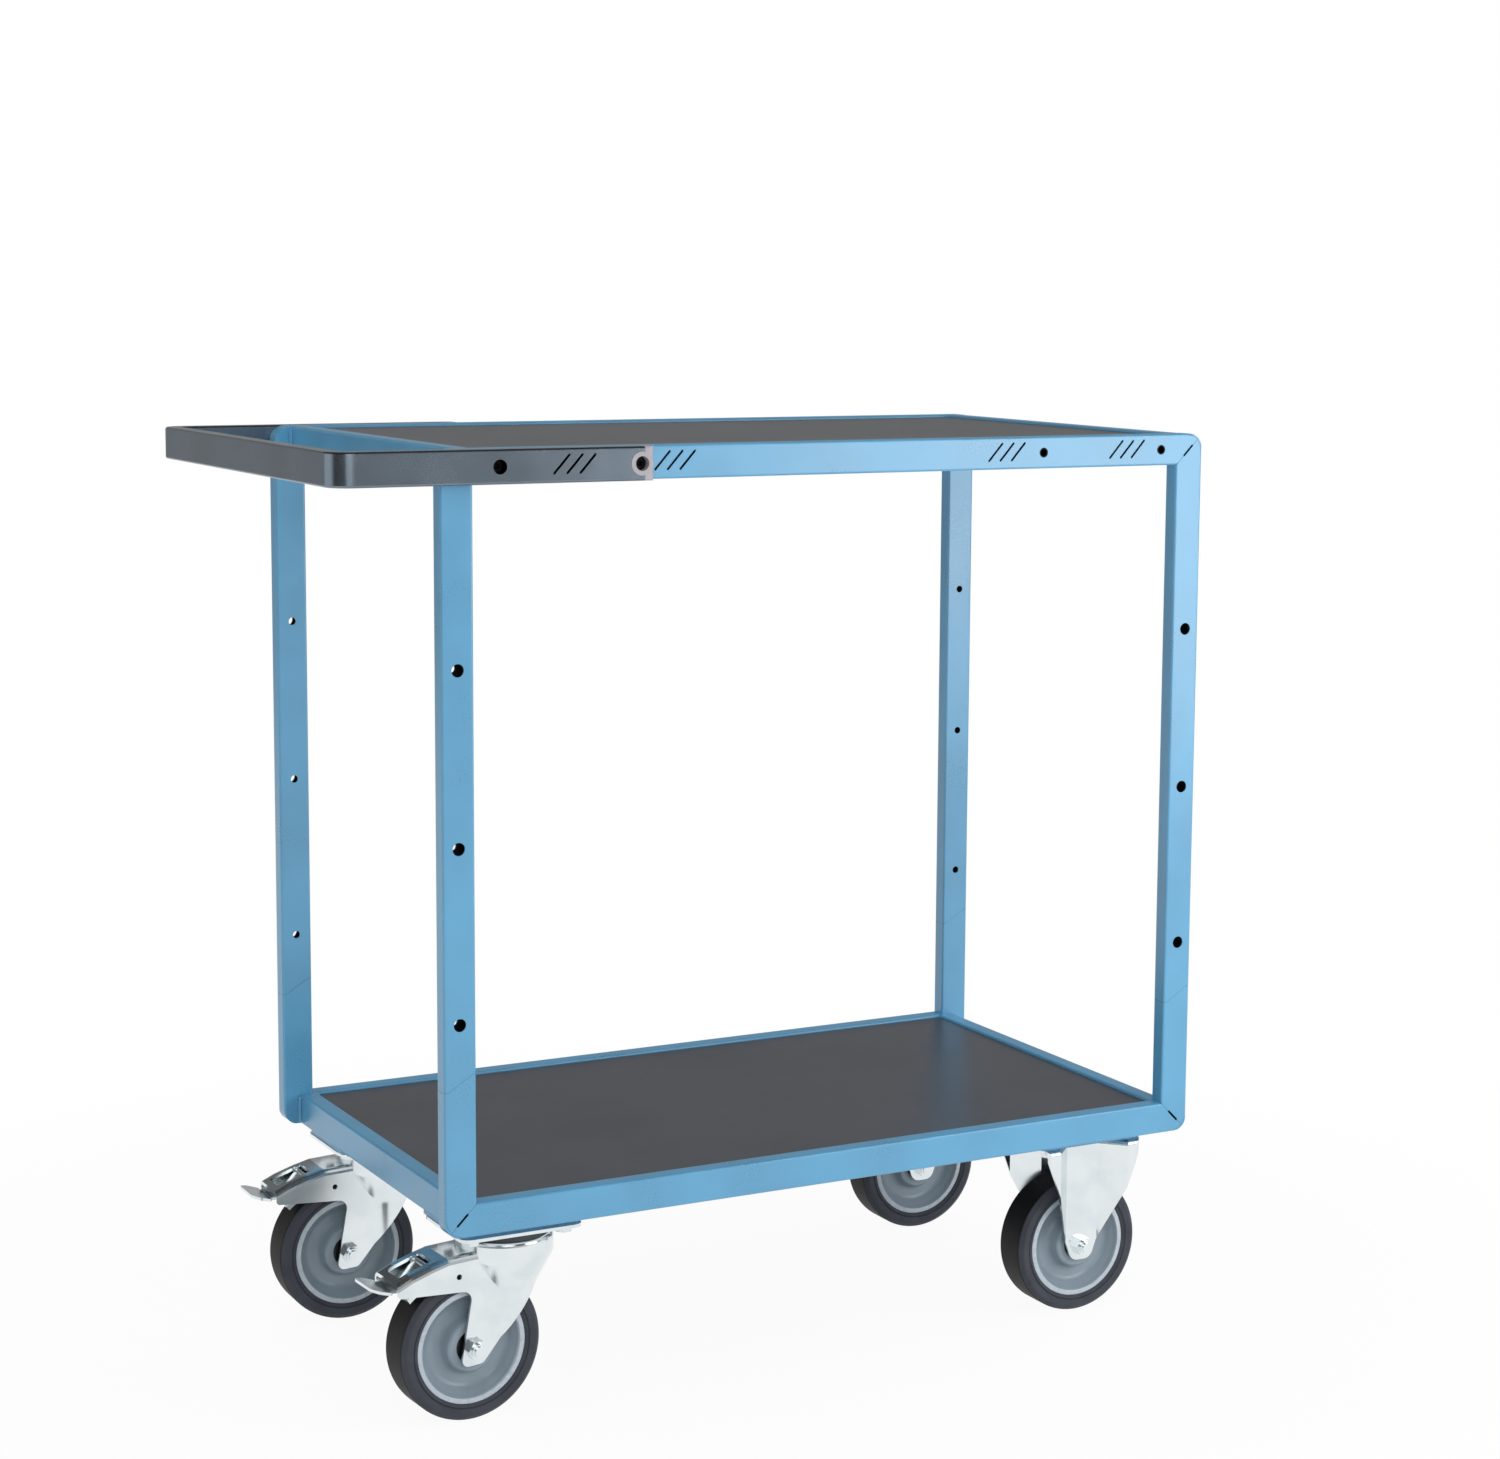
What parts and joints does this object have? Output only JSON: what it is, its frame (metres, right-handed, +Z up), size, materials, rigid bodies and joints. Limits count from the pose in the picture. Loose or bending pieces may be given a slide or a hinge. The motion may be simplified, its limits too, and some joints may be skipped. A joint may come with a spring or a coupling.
{
  "type": "utility cart",
  "caption": "Workshop cart with a folded square-tube frame, dark shelf boards, a bolted push handle, braked swivel casters at the handle end and fixed casters in front.",
  "frame": {"origin": "On the floor, below the middle of the cart's bounding box.", "axes": "+X runs from the push handle to the front, +Y from the near side to the far side, +Z up."},
  "size_m": [1.04, 0.55, 1.021],
  "materials": {
    "frame_steel": "satin powder coat, light blue",
    "handle_steel": "satin powder coat, anthracite",
    "board": "smooth dark facing",
    "plug": "moulded, fine grain",
    "zinc": "bright zinc plate",
    "ball_steel": "polished, greased",
    "rim": "moulded, smooth grey",
    "tyre": "matt solid rubber",
    "bearing": "dark shielded",
    "seal": "matt black"
  },
  "bodies": {
    "chassis": {"side_frame_near_upper": "frame_steel", "side_frame_near_lower": "frame_steel", "side_frame_far_upper": "frame_steel", "side_frame_far_lower": "frame_steel", "end_bar_top_handle": "frame_steel", "end_bar_top_front": "frame_steel", "end_bar_bottom_handle": "frame_steel", "end_bar_bottom_front": "frame_steel", "rest_rail_top_near": "frame_steel", "rest_rail_top_far": "frame_steel", "rest_rail_bottom_near": "frame_steel", "rest_rail_bottom_far": "frame_steel", "cross_member_top": "frame_steel", "cross_member_bottom": "frame_steel", "mount_plate_near_handle": "frame_steel", "mount_plate_far_handle": "frame_steel", "mount_plate_near_front": "frame_steel", "mount_plate_far_front": "frame_steel", "push_handle": "handle_steel", "board_top": "board", "board_bottom": "board", "handle_plug_near": "plug", "handle_plug_far": "plug", "board_screws": "zinc", "handle_screws": "zinc", "rail_nuts": "zinc", "caster_bolts": "zinc", "swivel_plate_near": "zinc", "swivel_plate_far": "zinc", "kingpins": "zinc", "fixed_fork_near": "zinc", "fixed_fork_far": "zinc", "fixed_axles": "zinc", "fixed_sleeves": "zinc", "race_balls": "ball_steel", "dust_seals": "seal"},
    "caster_near": {"swivel_fork_near": "zinc", "swivel_axle_near": "zinc", "swivel_sleeve_near": "zinc", "pedal_pin_near": "zinc"},
    "pedal_near": {"brake_pedal_near": "zinc"},
    "caster_far": {"swivel_fork_far": "zinc", "swivel_axle_far": "zinc", "swivel_sleeve_far": "zinc", "pedal_pin_far": "zinc"},
    "pedal_far": {"brake_pedal_far": "zinc"},
    "wheel_swivel_near": {"rim_swivel_near": "rim", "tyre_swivel_near": "tyre", "bearings_swivel_near": "bearing"},
    "wheel_swivel_far": {"rim_swivel_far": "rim", "tyre_swivel_far": "tyre", "bearings_swivel_far": "bearing"},
    "wheel_fixed_near": {"rim_fixed_near": "rim", "tyre_fixed_near": "tyre", "bearings_fixed_near": "bearing"},
    "wheel_fixed_far": {"rim_fixed_far": "rim", "tyre_fixed_far": "tyre", "bearings_fixed_far": "bearing"}
  },
  "joints": [
    {"name": "caster_near_swivel", "type": "hinge", "parent": "chassis", "child": "caster_near", "pos_m": [-0.304, -0.18, 0.18], "axis": [0, 0, 1], "continuous": true},
    {"name": "wheel_swivel_near_roll", "type": "hinge", "parent": "caster_near", "child": "wheel_swivel_near", "pos_m": [-0.35193, -0.18251, 0.08], "axis": [-0.0523, 0.9986, 0], "continuous": true},
    {"name": "pedal_near_press", "type": "hinge", "parent": "caster_near", "child": "pedal_near", "pos_m": [-0.39887, -0.18497, 0.1705], "axis": [0.0523, -0.9986, 0], "range_deg": [0, 8]},
    {"name": "caster_far_swivel", "type": "hinge", "parent": "chassis", "child": "caster_far", "pos_m": [-0.304, 0.18, 0.18], "axis": [0, 0, 1], "continuous": true},
    {"name": "wheel_swivel_far_roll", "type": "hinge", "parent": "caster_far", "child": "wheel_swivel_far", "pos_m": [-0.35199, 0.18084, 0.08], "axis": [0.0175, 0.9998, 0], "continuous": true},
    {"name": "pedal_far_press", "type": "hinge", "parent": "caster_far", "child": "pedal_far", "pos_m": [-0.39899, 0.18166, 0.1705], "axis": [-0.0175, -0.9998, 0], "range_deg": [0, 8]},
    {"name": "wheel_fixed_near_roll", "type": "hinge", "parent": "chassis", "child": "wheel_fixed_near", "pos_m": [0.408, -0.18, 0.08], "axis": [0, 1, 0], "continuous": true},
    {"name": "wheel_fixed_far_roll", "type": "hinge", "parent": "chassis", "child": "wheel_fixed_far", "pos_m": [0.408, 0.18, 0.08], "axis": [0, 1, 0], "continuous": true}
  ]
}
